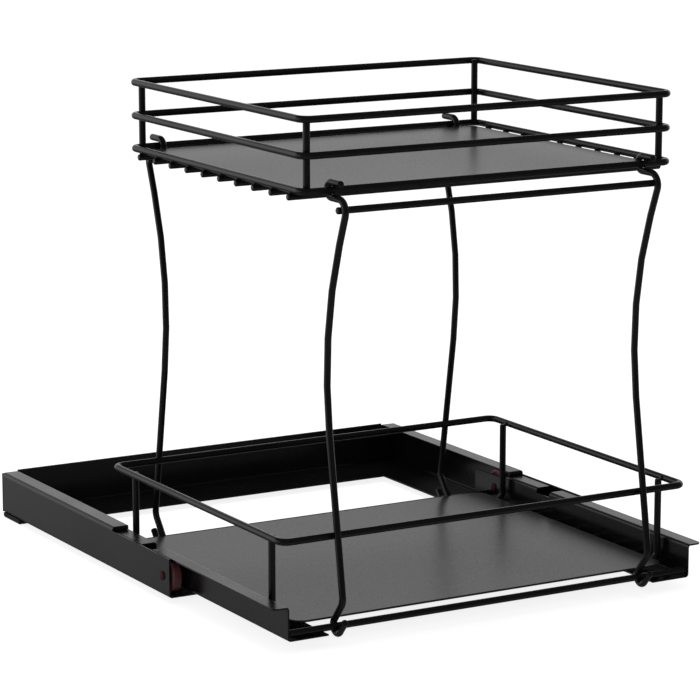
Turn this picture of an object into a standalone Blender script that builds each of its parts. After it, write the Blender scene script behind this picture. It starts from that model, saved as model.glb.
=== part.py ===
"""Two-tier pull-out cabinet organizer.

A low frame of two C-shaped channels and a rear panel stands on four pads. Z-shaped rails run
on rollers in the channels and carry the pull-out tray: a lower shelf of wires with a wire rim,
two frames of bent legs that hook over its front and rear bars, and a wire basket that hangs in
the hooks at the legs' upper ends. The tray is modelled pulled out to its stop.

Metres, +Z up, +X to the right, front towards -Y. The origin is on the floor, at the middle of
the space that the pulled-out organizer takes up.
"""
import math

import bmesh
import bpy
from mathutils import Vector

# Clearance between pieces that touch
GAP = 0.0003

# Base frame of folded sheet
BASE_WIDTH = 0.3590
BASE_DEPTH = 0.2907
CHANNEL_HEIGHT = 0.0318
CHANNEL_TOP_FLANGE = 0.0130
CHANNEL_BOTTOM_FLANGE = 0.0395
REAR_FLANGE = 0.0494
REAR_PANEL_RISE = 0.0008
SHEET = 0.0012
BEND_RADIUS = 0.0016
STOP_SETBACK = 0.0915
OPEN_FRONT_DROP = 0.0029

# Pads under the base
FOOT_HEIGHT = 0.0038
FOOT_LENGTH = 0.0300
FOOT_WIDTH = 0.0260
FRONT_FOOT_INSET = 0.0120
FRONT_FOOT_SETBACK = 0.0220
FOOT_EDGE = 0.0007

# Rails of the tray
TRAY_TRAVEL = 0.1480
CLOSED_PROUD = 0.0011
SIDE_SPACE = 0.0127
RAIL_LIFT = 0.0028
RAIL_HEIGHT = 0.0244
RAIL_TOP_FLANGE = 0.0110
RAIL_BOTTOM_FLANGE = 0.0318
RAIL_FRONT_REACH = 0.1365
RAIL_REAR_REACH = 0.1514
RAIL_CORNER = 0.0020
NOTCH_START = 0.0448
NOTCH_LENGTH = 0.0175
NOTCH_DEPTH = 0.0040
REAR_DROP = 0.0030
TAB_TO_DROP = 0.0006

# Rollers and the rivets they turn on
ROLLER_WIDTH = 0.0080
ROLLER_FLOOR_SPACE = 0.0008
ROLLER_EDGE = 0.0010
FRONT_AXLE_SETBACK = 0.0109
REAR_AXLE_SETBACK = 0.0280
AXLE_RADIUS = 0.0025
AXLE_HEAD_RADIUS = 0.0040
AXLE_HEAD_HEIGHT = 0.0014
AXLE_END_RADIUS = 0.0034
BORE_CLEARANCE = 0.0001
ROLLER_TO_WEB = 0.0013

# Wire diameters
RIM_WIRE = 0.0050
CROSS_WIRE = 0.0047
LEG_WIRE = 0.0049
BAR_WIRE = 0.0049

# Lower shelf
BAR_REACH = 0.1335
WIRE_LIFT = 0.0012
LOWER_RIM_DEPTH = 0.2567
LOWER_RIM_RISE = 0.0620
LOWER_RIM_CORNER = 0.0070
LOWER_POST_INSET = 0.0240
LOWER_POST_SPACE = 0.0018
POST_BEND = 0.0080
LOWER_CROSS_COUNT = 7
LOWER_LINER_FRONT = 0.1245
LOWER_LINER_REAR = 0.1252

# Upper basket
UPPER_WIDTH = 0.2960
UPPER_DEPTH = 0.2560
UPPER_CORNER = 0.0075
TIER_SPACING = 0.2983
MIDDLE_RIM_RISE = 0.0239
TOP_RIM_RISE = 0.0481
UPPER_POST_ANGLE = 40.0
UPPER_CROSS_COUNT = 10
UPPER_CROSS_PITCH = 0.0247
CROSS_OVERHANG = 0.0030
POST_OVERHANG = 0.0012
UPPER_LINER_SIDE_MARGIN = 0.0140
UPPER_LINER_END_MARGIN = 0.0150

# Liners laid on the wires
LINER_SHEET = 0.0015
LINER_CORNER = 0.0100

# Bent legs with a hook at each end
LEG_SPREAD = 0.1257
HOOK_SET_IN = 0.0053
HOOK_OVER_SPACE = 0.0005
HOOK_TIP_REACH = 0.0135
CROWN_REACH = 0.0202
CROWN_RADIUS = 0.0080
WAIST_REACH = 0.1166
WAIST_HEIGHT = 0.1999
WAIST_RADIUS = 0.1150
KNEE_OUT = 0.0087
KNEE_HEIGHT = 0.0181
KNEE_RADIUS = 0.0090
LOWER_TIP_ANGLE = -40.0
LOWER_TIP_LENGTH = 0.0115
CROSSBAR_STUB = 0.0038

# Smoothness of arcs and of turned pieces
ARC_TOLERANCE = 0.0001
TURNED_STEPS = 24

# Where the points of a rivet head's quarter round lie, from its middle to its rim
DOME_ANGLES = (math.radians(60), math.radians(30))

# Length of the cutters that make holes through a sheet
CUTTER_DEPTH = 0.0060

# Places that follow from the sizes above
LEG_TOP_REACH = UPPER_DEPTH / 2 + CROWN_REACH
CHANNEL_BOTTOM_Z = FOOT_HEIGHT + GAP
CHANNEL_TOP_Z = CHANNEL_BOTTOM_Z + CHANNEL_HEIGHT
CHANNEL_INNER_X = BASE_WIDTH / 2 - SHEET
RAIL_X = CHANNEL_INNER_X - SIDE_SPACE
RAIL_INNER_X = RAIL_X - SHEET
RAIL_BOTTOM_Z = CHANNEL_BOTTOM_Z + SHEET + RAIL_LIFT
RAIL_TOP_Z = RAIL_BOTTOM_Z + RAIL_HEIGHT
RAIL_FLOOR_Z = RAIL_BOTTOM_Z + SHEET + GAP + WIRE_LIFT
BAR_Z = RAIL_FLOOR_Z + BAR_WIRE / 2
LOWER_RUN_Z = RAIL_FLOOR_Z + RIM_WIRE / 2
LOWER_LINER_Z = RAIL_FLOOR_Z + RIM_WIRE + GAP
UPPER_BOTTOM_Z = BAR_Z + TIER_SPACING
UPPER_CROSS_Z = UPPER_BOTTOM_Z - RIM_WIRE / 2 - GAP - CROSS_WIRE / 2
UPPER_LINER_Z = UPPER_CROSS_Z + CROSS_WIRE / 2 + GAP


def add_material(name, colour, roughness, metallic=0.0):
    """One Principled material."""
    material = bpy.data.materials.new(name)
    material.use_nodes = True
    shader = material.node_tree.nodes["Principled BSDF"]
    shader.inputs["Base Color"].default_value = (*colour, 1.0)
    shader.inputs["Roughness"].default_value = roughness
    shader.inputs["Metallic"].default_value = metallic
    return material


def place(obj, material, parent, location=(0, 0, 0)):
    """Gives an object its material, its frame and its place in that frame."""
    obj.data.materials.append(material)
    obj.parent = parent
    obj.location = location
    PARTS.objects.link(obj)
    return obj


def add_empty(name, y):
    """The frame of a group of pieces."""
    empty = bpy.data.objects.new(name, None)
    empty.location = (0, y, 0)
    PARTS.objects.link(empty)
    return empty


def arc_steps(radius, turn):
    """How many chords an arc needs to stay within the tolerance."""
    chord = 2 * math.acos(max(0.0, 1 - ARC_TOLERANCE / radius))
    return max(2, math.ceil(abs(turn) / chord))


def arc(centre, radius, start, turn):
    """Points of an arc in a plane, from the angle start, through turn radians."""
    steps = arc_steps(radius, turn)
    angles = [start + turn * i / steps for i in range(steps + 1)]
    return [Vector((centre[0] + radius * math.cos(a), centre[1] + radius * math.sin(a))) for a in angles]


def fillet(before, corner, after, radius):
    """The arc that rounds one corner of a path."""
    back = (before - corner).normalized()
    ahead = (after - corner).normalized()
    half = back.angle(ahead) / 2
    centre = corner + (back + ahead).normalized() * (radius / math.sin(half))
    first = corner + back * (radius / math.tan(half)) - centre
    last = corner + ahead * (radius / math.tan(half)) - centre
    start = math.atan2(first.y, first.x)
    turn = (math.atan2(last.y, last.x) - start + math.pi) % (2 * math.pi) - math.pi
    return arc(centre, radius, start, turn), centre


def rounded_path(start, corners, end):
    """A path from start to end, with each (corner, radius) rounded by an arc."""
    stops = [Vector(start)] + [Vector(point) for point, _ in corners] + [Vector(end)]
    points = [stops[0]]
    for i, (_, radius) in enumerate(corners, start=1):
        points += fillet(stops[i - 1], stops[i], stops[i + 1], radius)[0]
    return points + [stops[-1]]


def rounded_rectangle(half_x, y0, y1, radius):
    """The outline of a rectangle with round corners, as points in order."""
    corners = [(half_x, y0), (half_x, y1), (-half_x, y1), (-half_x, y0)]
    points = []
    for i, corner in enumerate(corners):
        before, after = Vector(corners[i - 1]), Vector(corners[(i + 1) % 4])
        points += fillet(before, Vector(corner), after, radius)[0]
    return points


def add_wire(name, points, diameter, material, parent, closed=False):
    """A round wire along points, as a bevelled curve."""
    curve = bpy.data.curves.new(name, "CURVE")
    curve.dimensions = "3D"
    curve.bevel_depth = diameter / 2
    curve.bevel_resolution = 2
    curve.use_fill_caps = True
    spline = curve.splines.new("POLY")
    spline.points.add(len(points) - 1)
    for point, place_at in zip(spline.points, points):
        point.co = (*place_at, 1)
    spline.use_cyclic_u = closed
    spline.use_smooth = True
    return place(bpy.data.objects.new(name, curve), material, parent)


def add_cross_wire(name, half_length, y, z, diameter, parent):
    """A straight wire along X."""
    return add_wire(name, [(-half_length, y, z), (half_length, y, z)], diameter, BLACK_COAT, parent)


def add_folded_sheet(name, fold, length, material, parent, location, turned=0.0):
    """A strip of sheet that follows the fold line (x, z) and runs along +Y."""
    mesh = bpy.data.meshes.new(name)
    bm = bmesh.new()
    verts = [bm.verts.new((x, 0, z)) for x, z in fold]
    edges = [bm.edges.new(pair) for pair in zip(verts, verts[1:])]
    pulled = bmesh.ops.extrude_edge_only(bm, edges=edges)["geom"]
    far_verts = [v for v in pulled if isinstance(v, bmesh.types.BMVert)]
    bmesh.ops.translate(bm, verts=far_verts, vec=(0, length, 0))
    bmesh.ops.recalc_face_normals(bm, faces=bm.faces)
    bm.to_mesh(mesh)
    bm.free()
    sheet = place(bpy.data.objects.new(name, mesh), material, parent, location)
    sheet.rotation_euler.z = turned
    bend = sheet.modifiers.new("bend", "BEVEL")
    bend.width = BEND_RADIUS
    bend.segments = 3
    bend.limit_method = "ANGLE"
    bend.angle_limit = math.radians(60)
    gauge = sheet.modifiers.new("gauge", "SOLIDIFY")
    gauge.thickness = SHEET
    gauge.offset = 0
    gauge.use_even_offset = True
    return sheet


def round_free_corner(sheet, near, radius):
    """Rounds the corner of a sheet that lies nearest to a point, in the sheet's own frame."""
    bm = bmesh.new()
    bm.from_mesh(sheet.data)
    corner = min(bm.verts, key=lambda v: (v.co - Vector(near)).length)
    bmesh.ops.bevel(bm, geom=[corner], affect="VERTICES", offset=radius, offset_type="OFFSET",
                    segments=4, profile=0.5, material=-1)
    bm.to_mesh(sheet.data)
    bm.free()


def box_between(name, low, high):
    """A box mesh from its lowest to its highest corner, made from a cube."""
    low, high = Vector(low), Vector(high)
    mesh = bpy.data.meshes.new(name)
    bm = bmesh.new()
    bmesh.ops.create_cube(bm, size=1.0)
    bmesh.ops.scale(bm, vec=high - low, verts=bm.verts)
    bmesh.ops.translate(bm, vec=(low + high) / 2, verts=bm.verts)
    bm.to_mesh(mesh)
    bm.free()
    return mesh


def mirrored_box(name, side, x0, x1, y0, y1, z0, z1):
    """A box for the left (-1) or right (+1) side, given by its distances from the middle plane."""
    xs = sorted((side * x0, side * x1))
    return box_between(name, (xs[0], y0, z0), (xs[1], y1, z1))


def add_tool(name, mesh, parent, location=(0, 0, 0)):
    """An object that only shapes another one."""
    tool = bpy.data.objects.new(name, mesh)
    tool.parent = parent
    tool.location = location
    tool.display_type = "WIRE"
    tool.hide_render = True
    CUTTERS.objects.link(tool)
    return tool


def combine(obj, tool, operation):
    """A Boolean that cuts the tool out of an object, or joins it on."""
    modifier = obj.modifiers.new(tool.name, "BOOLEAN")
    modifier.operation = operation
    modifier.solver = "EXACT"
    modifier.object = tool


def axle_hole(name, x, y, z, parent):
    """A cutter for the hole that an axle passes through."""
    mesh = bpy.data.meshes.new(name)
    bm = bmesh.new()
    bmesh.ops.create_cone(bm, cap_ends=True, segments=TURNED_STEPS, radius1=AXLE_RADIUS + GAP,
                          radius2=AXLE_RADIUS + GAP, depth=CUTTER_DEPTH)
    bm.to_mesh(mesh)
    bm.free()
    tool = add_tool(name, mesh, parent, (x, y, z))
    tool.rotation_euler.y = math.pi / 2
    return tool


def add_turned(name, profile, closed, material, parent, location, direction):
    """A piece turned about the X axis. The profile is (distance along +X times direction, radius)."""
    mesh = bpy.data.meshes.new(name)
    bm = bmesh.new()
    verts = [bm.verts.new((radius, 0, along)) for along, radius in profile]
    for pair in zip(verts, verts[1:]):
        bm.edges.new(pair)
    if closed:
        bm.edges.new((verts[-1], verts[0]))
    bm.to_mesh(mesh)
    bm.free()
    piece = place(bpy.data.objects.new(name, mesh), material, parent, location)
    piece.rotation_euler.y = direction * math.pi / 2
    turn = piece.modifiers.new("turn", "SCREW")
    turn.axis = "Z"
    turn.steps = TURNED_STEPS
    turn.render_steps = TURNED_STEPS
    turn.use_merge_vertices = True
    turn.merge_threshold = 0.00001
    turn.use_smooth_shade = True
    return piece


def add_liner(name, half_x, y0, y1, z, parent):
    """A thin sheet with round corners, from a filled flat outline."""
    curve = bpy.data.curves.new(name, "CURVE")
    curve.dimensions = "2D"
    curve.fill_mode = "BOTH"
    curve.extrude = LINER_SHEET / 2
    outline = rounded_rectangle(half_x, y0, y1, LINER_CORNER)
    spline = curve.splines.new("POLY")
    spline.points.add(len(outline) - 1)
    for point, place_at in zip(spline.points, outline):
        point.co = (place_at.x, place_at.y, 0, 1)
    spline.use_cyclic_u = True
    return place(bpy.data.objects.new(name, curve), GREY_LINER, parent, (0, 0, z + LINER_SHEET / 2))


def add_channel(name, side, frame):
    """A C-shaped side channel. Its top flange starts behind the front and ends in a stop lip."""
    half = BASE_WIDTH / 2
    floor, roof = CHANNEL_BOTTOM_Z + SHEET / 2, CHANNEL_TOP_Z - SHEET / 2
    fold = [(side * (half - CHANNEL_BOTTOM_FLANGE), floor), (side * (half - SHEET / 2), floor),
            (side * (half - SHEET / 2), roof), (side * (half - CHANNEL_TOP_FLANGE), roof)]
    length = BASE_DEPTH - SHEET - GAP
    channel = add_folded_sheet(name, fold, length, BLACK_COAT, frame, (0, 0, 0))
    bend = BEND_RADIUS + SHEET / 2
    clear = SHEET
    open_front = mirrored_box(name + "_open_front", side, half - CHANNEL_TOP_FLANGE - clear, half + clear,
                              -clear, STOP_SETBACK, CHANNEL_TOP_Z - OPEN_FRONT_DROP, CHANNEL_TOP_Z + clear)
    combine(channel, add_tool(name + "_open_front", open_front, frame), "DIFFERENCE")
    lip = mirrored_box(name + "_stop_lip", side, half - CHANNEL_TOP_FLANGE, half - bend - GAP,
                       STOP_SETBACK, STOP_SETBACK + SHEET, RAIL_TOP_Z + GAP, CHANNEL_TOP_Z - SHEET / 2)
    combine(channel, add_tool(name + "_stop_lip", lip, frame), "UNION")
    hole = axle_hole(name + "_axle_hole", side * (half - SHEET / 2), FRONT_AXLE_SETBACK,
                     front_roller()[1], frame)
    combine(channel, hole, "DIFFERENCE")
    return channel


def add_rear_panel(frame):
    """The rear wall with its wide bottom flange, which fits between the channels' flanges."""
    half = BASE_WIDTH / 2
    floor = CHANNEL_BOTTOM_Z + SHEET / 2
    fold = [(REAR_FLANGE, floor), (SHEET / 2, floor), (SHEET / 2, CHANNEL_TOP_Z + REAR_PANEL_RISE)]
    panel = add_folded_sheet("rear_panel", fold, BASE_WIDTH, BLACK_COAT, frame,
                             (-half, BASE_DEPTH, 0), -math.pi / 2)
    for side in (-1, 1):
        name = "rear_panel_corner_" + SIDES[side]
        corner = mirrored_box(name, side, half - CHANNEL_BOTTOM_FLANGE - GAP, half + SHEET,
                              BASE_DEPTH - REAR_FLANGE - SHEET, BASE_DEPTH - SHEET,
                              CHANNEL_BOTTOM_Z - SHEET, CHANNEL_TOP_Z - SHEET)
        combine(panel, add_tool(name, corner, frame), "DIFFERENCE")
    return panel


def add_foot(name, side, inset, y0, frame):
    """A rubber pad with soft lower edges."""
    mesh = mirrored_box(name, side, BASE_WIDTH / 2 - inset - FOOT_WIDTH, BASE_WIDTH / 2 - inset,
                        y0, y0 + FOOT_LENGTH, 0, FOOT_HEIGHT)
    foot = place(bpy.data.objects.new(name, mesh), RUBBER, frame)
    edge = foot.modifiers.new("edge", "BEVEL")
    edge.width = FOOT_EDGE
    edge.segments = 2
    return foot


def front_roller():
    """Radius and height of the front rollers, which carry the rails' top flanges from below."""
    space = RAIL_TOP_Z - SHEET - (CHANNEL_BOTTOM_Z + SHEET)
    radius = (space - GAP - ROLLER_FLOOR_SPACE) / 2
    return radius, RAIL_TOP_Z - SHEET - GAP - radius


def rear_roller():
    """Radius and height of the rear rollers, which run between the channels' flanges."""
    radius = (CHANNEL_HEIGHT - 2 * SHEET - 2 * GAP) / 2
    return radius, CHANNEL_BOTTOM_Z + SHEET + GAP + radius


def add_roller(name, radius, x, y, z, direction, frame):
    """A roller with a bore and rounded edges, centred on its axle."""
    half, bore, edge = ROLLER_WIDTH / 2, AXLE_RADIUS + BORE_CLEARANCE, ROLLER_EDGE
    shoulder = edge * (1 - math.sqrt(0.5))
    profile = [(half, bore), (half, radius - edge), (half - shoulder, radius - shoulder),
               (half - edge, radius), (edge - half, radius), (shoulder - half, radius - shoulder),
               (-half, radius - edge), (-half, bore)]
    return add_turned(name, profile, True, ROLLER_NYLON, frame, (x, y, z), direction)


def add_axle(name, x, y, z, direction, frame):
    """A rivet: a domed head outside the web, a collar inside it, the shank, and the end past the roller.

    The place is the web's face on the head's side, and direction (-1 or +1) is where the head points.
    """
    collar_start, collar_end = -SHEET - GAP, -SHEET - ROLLER_TO_WEB + GAP
    shank_end = -SHEET - ROLLER_TO_WEB - ROLLER_WIDTH - GAP
    head = AXLE_HEAD_RADIUS
    dome = [(GAP + AXLE_HEAD_HEIGHT * math.sin(a), head * math.cos(a)) for a in DOME_ANGLES]
    profile = [(GAP + AXLE_HEAD_HEIGHT, 0)] + dome + [
        (GAP, head), (GAP, AXLE_RADIUS), (collar_start, AXLE_RADIUS), (collar_start, head),
        (collar_end, head), (collar_end, AXLE_RADIUS), (shank_end, AXLE_RADIUS), (shank_end, head),
        (shank_end - AXLE_HEAD_HEIGHT, AXLE_END_RADIUS), (shank_end - AXLE_HEAD_HEIGHT, 0)]
    return add_turned(name, profile, False, RIVET, frame, (x, y, z), direction)


def add_rail(name, side, frame, stop_y):
    """A Z-shaped rail: top flange outward on the rollers, bottom flange inward under the wires."""
    floor, roof = RAIL_BOTTOM_Z + SHEET / 2, RAIL_TOP_Z - SHEET / 2
    fold = [(side * (RAIL_X - RAIL_BOTTOM_FLANGE), floor), (side * (RAIL_X - SHEET / 2), floor),
            (side * (RAIL_X - SHEET / 2), roof), (side * (RAIL_X + RAIL_TOP_FLANGE), roof)]
    rail = add_folded_sheet(name, fold, RAIL_FRONT_REACH + RAIL_REAR_REACH, BLACK_COAT, frame,
                            (0, -RAIL_FRONT_REACH, 0))
    round_free_corner(rail, (side * (RAIL_X + RAIL_TOP_FLANGE), 0, roof), RAIL_CORNER)
    clear = SHEET
    tip = RAIL_X + RAIL_TOP_FLANGE + clear
    notch = mirrored_box(name + "_notch", side, RAIL_INNER_X - clear, tip,
                         NOTCH_START, NOTCH_START + NOTCH_LENGTH, RAIL_TOP_Z - NOTCH_DEPTH, RAIL_TOP_Z + clear)
    combine(rail, add_tool(name + "_notch", notch, frame), "DIFFERENCE")
    drop = mirrored_box(name + "_rear_drop", side, RAIL_INNER_X - clear, tip, stop_y + SHEET + TAB_TO_DROP,
                        RAIL_REAR_REACH + clear, RAIL_TOP_Z - REAR_DROP, RAIL_TOP_Z + clear)
    combine(rail, add_tool(name + "_rear_drop", drop, frame), "DIFFERENCE")
    tab = mirrored_box(name + "_stop_tab", side, RAIL_X + BEND_RADIUS, RAIL_X + RAIL_TOP_FLANGE,
                       stop_y, stop_y + SHEET, RAIL_TOP_Z - SHEET / 2, CHANNEL_TOP_Z - SHEET - GAP)
    combine(rail, add_tool(name + "_stop_tab", tab, frame), "UNION")
    hole = axle_hole(name + "_axle_hole", side * (RAIL_X - SHEET / 2), RAIL_REAR_REACH - REAR_AXLE_SETBACK,
                     rear_roller()[1], frame)
    combine(rail, hole, "DIFFERENCE")
    return rail


def lower_post_x():
    """Distance of the lower posts from the middle plane."""
    return RAIL_INNER_X - LOWER_POST_SPACE - RIM_WIRE / 2


def add_lower_shelf(frame):
    """Bars, U-shaped post wires, cross wires, rim and liner of the lower shelf."""
    bar_half = RAIL_INNER_X - GAP
    add_cross_wire("front_bar", bar_half, -BAR_REACH, BAR_Z, BAR_WIRE, frame)
    add_cross_wire("rear_bar", bar_half, BAR_REACH, BAR_Z, BAR_WIRE, frame)

    post_x = lower_post_x()
    post_y = LOWER_RIM_DEPTH / 2 - LOWER_POST_INSET
    rim_x = post_x + RIM_WIRE + GAP
    rim_z = LOWER_RUN_Z + LOWER_RIM_RISE
    feet = [((-post_x, LOWER_RUN_Z), POST_BEND), ((post_x, LOWER_RUN_Z), POST_BEND)]
    upright = rounded_path((-post_x, rim_z), feet, (post_x, rim_z))
    for name, y in (("lower_front_post_wire", -post_y), ("lower_rear_post_wire", post_y)):
        add_wire(name, [(p.x, y, p.y) for p in upright], RIM_WIRE, BLACK_COAT, frame)
    pitch = 2 * post_y / (LOWER_CROSS_COUNT + 1)
    for i in range(LOWER_CROSS_COUNT):
        y = -post_y + pitch * (i + 1)
        z = LOWER_LINER_Z - GAP - CROSS_WIRE / 2
        add_cross_wire(f"lower_cross_wire_{i + 1}", bar_half, y, z, CROSS_WIRE, frame)

    rim = rounded_rectangle(rim_x, -LOWER_RIM_DEPTH / 2, LOWER_RIM_DEPTH / 2, LOWER_RIM_CORNER)
    add_wire("lower_rim", [(p.x, p.y, rim_z) for p in rim], RIM_WIRE, BLACK_COAT, frame, closed=True)

    # The liner ends where the posts' bends come down past its lower face.
    inner_bend = POST_BEND - RIM_WIRE / 2
    below_centre = min(inner_bend, POST_BEND - (LOWER_LINER_Z - LOWER_RUN_Z))
    liner_x = post_x - POST_BEND + math.sqrt(inner_bend ** 2 - below_centre ** 2) - 2 * GAP
    add_liner("lower_liner", liner_x, -LOWER_LINER_FRONT, LOWER_LINER_REAR, LOWER_LINER_Z, frame)


def add_upper_basket(frame):
    """Three rims, corner posts, cross wires and liner of the upper basket."""
    half_x, half_y = UPPER_WIDTH / 2, UPPER_DEPTH / 2
    outline = rounded_rectangle(half_x, -half_y, half_y, UPPER_CORNER)
    rises = {"upper_bottom_rim": 0, "upper_middle_rim": MIDDLE_RIM_RISE, "upper_top_rim": TOP_RIM_RISE}
    for name, rise in rises.items():
        loop = [(p.x, p.y, UPPER_BOTTOM_Z + rise) for p in outline]
        add_wire(name, loop, RIM_WIRE, BLACK_COAT, frame, closed=True)

    # The posts stand against the inside of the rims' corner bends.
    inward = UPPER_CORNER - RIM_WIRE - GAP
    angle = math.radians(UPPER_POST_ANGLE)
    post_x = half_x - UPPER_CORNER + inward * math.cos(angle)
    post_y = half_y - UPPER_CORNER + inward * math.sin(angle)
    for side in (-1, 1):
        for end, sign in (("front", -1), ("rear", 1)):
            points = [(side * post_x, sign * post_y, UPPER_BOTTOM_Z - POST_OVERHANG),
                      (side * post_x, sign * post_y, UPPER_BOTTOM_Z + TOP_RIM_RISE + POST_OVERHANG)]
            add_wire(f"upper_post_{end}_{SIDES[side]}", points, RIM_WIRE, BLACK_COAT, frame)

    first = -UPPER_CROSS_PITCH * (UPPER_CROSS_COUNT - 1) / 2
    for i in range(UPPER_CROSS_COUNT):
        add_cross_wire(f"upper_cross_wire_{i + 1}", half_x + CROSS_OVERHANG, first + UPPER_CROSS_PITCH * i,
                       UPPER_CROSS_Z, CROSS_WIRE, frame)
    add_liner("upper_liner", half_x - UPPER_LINER_SIDE_MARGIN, -half_y + UPPER_LINER_END_MARGIN,
              half_y - UPPER_LINER_END_MARGIN, UPPER_LINER_Z, frame)


def leg_profile():
    """The centre line of a leg as (reach from the tray's middle, height), and the crown's centre."""
    over_z = UPPER_BOTTOM_Z + RIM_WIRE / 2 + HOOK_OVER_SPACE + LEG_WIRE / 2
    under_z = UPPER_BOTTOM_Z - RIM_WIRE / 2 - GAP - LEG_WIRE / 2
    turn_radius = (over_z - under_z) / 2
    turn_reach = UPPER_DEPTH / 2 - HOOK_SET_IN - turn_radius
    crown = Vector((LEG_TOP_REACH, under_z))
    waist = Vector((WAIST_REACH, BAR_Z + WAIST_HEIGHT))
    knee = Vector((BAR_REACH + KNEE_OUT, BAR_Z + KNEE_HEIGHT))
    tip = (UPPER_DEPTH / 2 + HOOK_TIP_REACH, over_z)

    # The lower hook is an arc round the bar, which the straight from the knee meets at a tangent.
    bar = Vector((BAR_REACH, BAR_Z))
    hook_radius = (BAR_WIRE + LEG_WIRE) / 2 + GAP
    to_knee = knee - bar
    start = math.atan2(to_knee.y, to_knee.x) + math.acos(hook_radius / to_knee.length)
    turn = 2 * math.pi + math.radians(LOWER_TIP_ANGLE) - start
    hook = arc(bar, hook_radius, start, turn)
    end = math.radians(LOWER_TIP_ANGLE)
    lower_tip = hook[-1] + LOWER_TIP_LENGTH * Vector((-math.sin(end), math.cos(end)))

    corners = [((turn_reach, over_z), turn_radius), ((turn_reach, under_z), turn_radius),
               (crown, CROWN_RADIUS), (waist, WAIST_RADIUS), (knee, KNEE_RADIUS)]
    points = rounded_path(tip, corners, hook[0])[:-1] + hook + [lower_tip]
    crown_centre = fillet(Vector((turn_reach, under_z)), crown, waist, CROWN_RADIUS)[1]
    return points, crown_centre


def add_legs(frame):
    """Four legs, mirrored front to rear, and the bar that ties each pair inside its crowns."""
    points, crown_centre = leg_profile()
    bar_reach = crown_centre.x + CROWN_RADIUS - LEG_WIRE - GAP
    for end, sign in (("front", -1), ("rear", 1)):
        for side in (-1, 1):
            route = [(side * LEG_SPREAD, sign * p.x, p.y) for p in points]
            add_wire(f"{end}_{SIDES[side]}_leg", route, LEG_WIRE, BLACK_COAT, frame)
        add_cross_wire(f"{end}_leg_crossbar", LEG_SPREAD + CROSSBAR_STUB, sign * bar_reach, crown_centre.y,
                       LEG_WIRE, frame)


def add_runners(base, tray):
    """Rollers with their rivets: the front pair on the base, the rear pair on the tray."""
    front_radius, front_z = front_roller()
    rear_radius, rear_z = rear_roller()
    rear_y = RAIL_REAR_REACH - REAR_AXLE_SETBACK
    for side in (-1, 1):
        hand = SIDES[side]
        outer_face = side * BASE_WIDTH / 2
        roller_x = side * (CHANNEL_INNER_X - ROLLER_TO_WEB - ROLLER_WIDTH / 2)
        add_axle(f"front_axle_{hand}", outer_face, FRONT_AXLE_SETBACK, front_z, side, base)
        add_roller(f"front_roller_{hand}", front_radius, roller_x, FRONT_AXLE_SETBACK, front_z, side, base)
        inner_face = side * RAIL_INNER_X
        roller_x = side * (RAIL_X + ROLLER_TO_WEB + ROLLER_WIDTH / 2)
        add_axle(f"rear_axle_{hand}", inner_face, rear_y, rear_z, -side, tray)
        add_roller(f"rear_roller_{hand}", rear_radius, roller_x, rear_y, rear_z, side, tray)


def main():
    """Builds the whole organizer."""
    leg_reach = max(p.x for p in leg_profile()[0]) + LEG_WIRE / 2
    base_from_tray = TRAY_TRAVEL - RAIL_FRONT_REACH + CLOSED_PROUD
    tray_y = (leg_reach - base_from_tray - BASE_DEPTH) / 2
    base = add_empty("base", tray_y + base_from_tray)
    tray = add_empty("tray", tray_y)

    for side in (-1, 1):
        hand = SIDES[side]
        add_channel(f"{hand}_channel", side, base)
        add_foot(f"rear_{hand}_foot", side, GAP, BASE_DEPTH - GAP - FOOT_LENGTH, base)
        add_foot(f"front_{hand}_foot", side, FRONT_FOOT_INSET, FRONT_FOOT_SETBACK, base)
        stop_y = base_from_tray + STOP_SETBACK + SHEET + GAP
        add_rail(f"{hand}_rail", side, tray, stop_y)
    add_rear_panel(base)
    add_runners(base, tray)
    add_lower_shelf(tray)
    add_upper_basket(tray)
    add_legs(tray)


for old in list(bpy.data.objects):
    bpy.data.objects.remove(old)

SIDES = {-1: "left", 1: "right"}
PARTS = bpy.data.collections.new("pull_out_organizer")
CUTTERS = bpy.data.collections.new("cutters")
bpy.context.scene.collection.children.link(PARTS)
bpy.context.scene.collection.children.link(CUTTERS)

BLACK_COAT = add_material("black_powder_coat", (0.012, 0.012, 0.013), 0.42)
GREY_LINER = add_material("grey_liner", (0.060, 0.060, 0.062), 0.38)
ROLLER_NYLON = add_material("red_brown_nylon", (0.090, 0.018, 0.015), 0.50)
RIVET = add_material("red_brown_rivet", (0.070, 0.016, 0.013), 0.40)
RUBBER = add_material("black_rubber", (0.008, 0.008, 0.008), 0.80)

main()
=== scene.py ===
# Two-tier pull-out cabinet organizer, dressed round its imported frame
import math
import bmesh
import bpy
from mathutils import Matrix, Vector


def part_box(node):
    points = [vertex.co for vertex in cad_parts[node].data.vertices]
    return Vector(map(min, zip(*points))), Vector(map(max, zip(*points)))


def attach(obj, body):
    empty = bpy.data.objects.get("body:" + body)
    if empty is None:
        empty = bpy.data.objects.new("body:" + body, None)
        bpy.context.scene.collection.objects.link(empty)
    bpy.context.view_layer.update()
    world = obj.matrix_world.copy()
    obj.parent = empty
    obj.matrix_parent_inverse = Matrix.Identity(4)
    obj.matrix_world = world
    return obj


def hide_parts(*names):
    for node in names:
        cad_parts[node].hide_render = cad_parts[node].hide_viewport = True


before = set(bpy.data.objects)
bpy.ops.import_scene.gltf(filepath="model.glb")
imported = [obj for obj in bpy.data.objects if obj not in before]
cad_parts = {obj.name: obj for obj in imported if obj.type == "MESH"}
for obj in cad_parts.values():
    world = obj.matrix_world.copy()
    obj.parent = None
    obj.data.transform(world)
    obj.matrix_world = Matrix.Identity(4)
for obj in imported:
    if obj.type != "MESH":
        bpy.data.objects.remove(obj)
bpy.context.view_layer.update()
print("frame loaded:", len(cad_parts), "nodes")

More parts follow.
